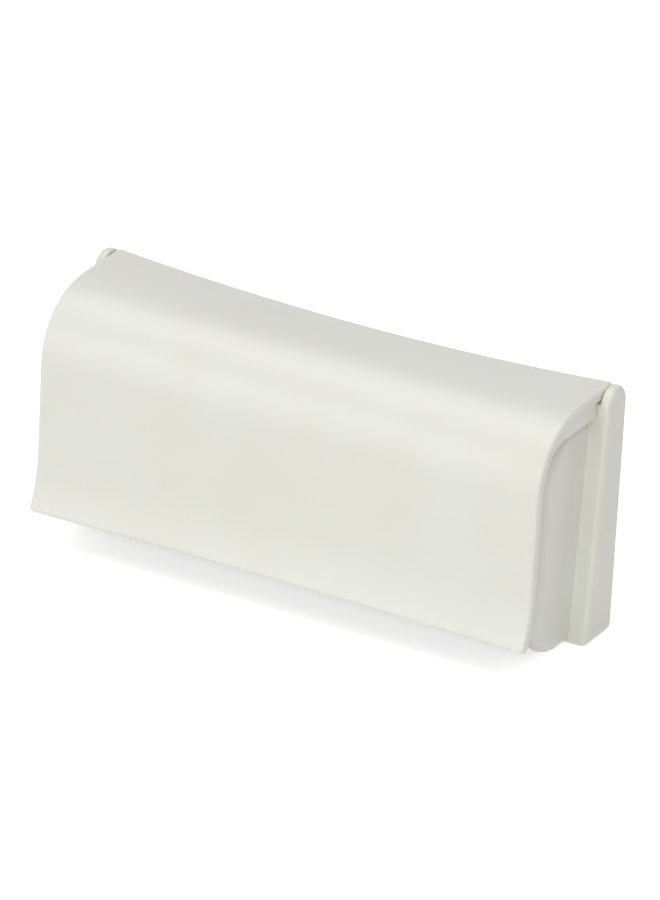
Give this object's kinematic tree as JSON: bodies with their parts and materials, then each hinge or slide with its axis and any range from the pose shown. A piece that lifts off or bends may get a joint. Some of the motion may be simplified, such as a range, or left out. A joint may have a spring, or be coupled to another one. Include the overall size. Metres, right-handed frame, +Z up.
{
  "type": "toothpaste dispenser",
  "caption": "White plastic toothpaste tube squeezer: a sprung hinged front flap with a flared finger lip carries a press roller against a back plate between rounded end cheeks.",
  "frame": {"origin": "middle of the footprint, on the surface that the dispenser stands on", "axes": "+X along the length, +Y towards the rear face, +Z up"},
  "size_m": [0.078, 0.022, 0.0356],
  "materials": {
    "white_plastic": "moulded warm white ABS, satin gloss",
    "grey_rubber": "soft matt grey elastomer",
    "steel": "bright drawn stainless steel",
    "acetal": "natural acetal"
  },
  "bodies": {
    "base": {"back_plate": "white_plastic", "left_cheek": "white_plastic", "right_cheek": "white_plastic", "cheek_screws": "steel", "anvil_strip": "grey_rubber", "left_hinge_pin": "steel", "right_hinge_pin": "steel", "left_closing_spring": "steel", "right_closing_spring": "steel"},
    "flap": {"front_flap": "white_plastic", "roller_axle": "steel"},
    "roller": {"roller_core": "white_plastic", "roller_sleeve": "grey_rubber", "left_bush": "acetal", "right_bush": "acetal"}
  },
  "joints": [
    {"name": "flap_hinge", "type": "hinge", "parent": "base", "child": "flap", "pos_m": [0, 0.0081, 0.0331], "axis": [-1, 0, 0], "range_deg": [0, 80], "stiffness_Nm_per_rad": 0.016, "springref_deg": -57.3, "deforming": ["left_closing_spring", "right_closing_spring"]},
    {"name": "roller_spin", "type": "hinge", "parent": "flap", "child": "roller", "pos_m": [0, 0.0026, 0.0146], "axis": [1, 0, 0], "continuous": true}
  ]
}
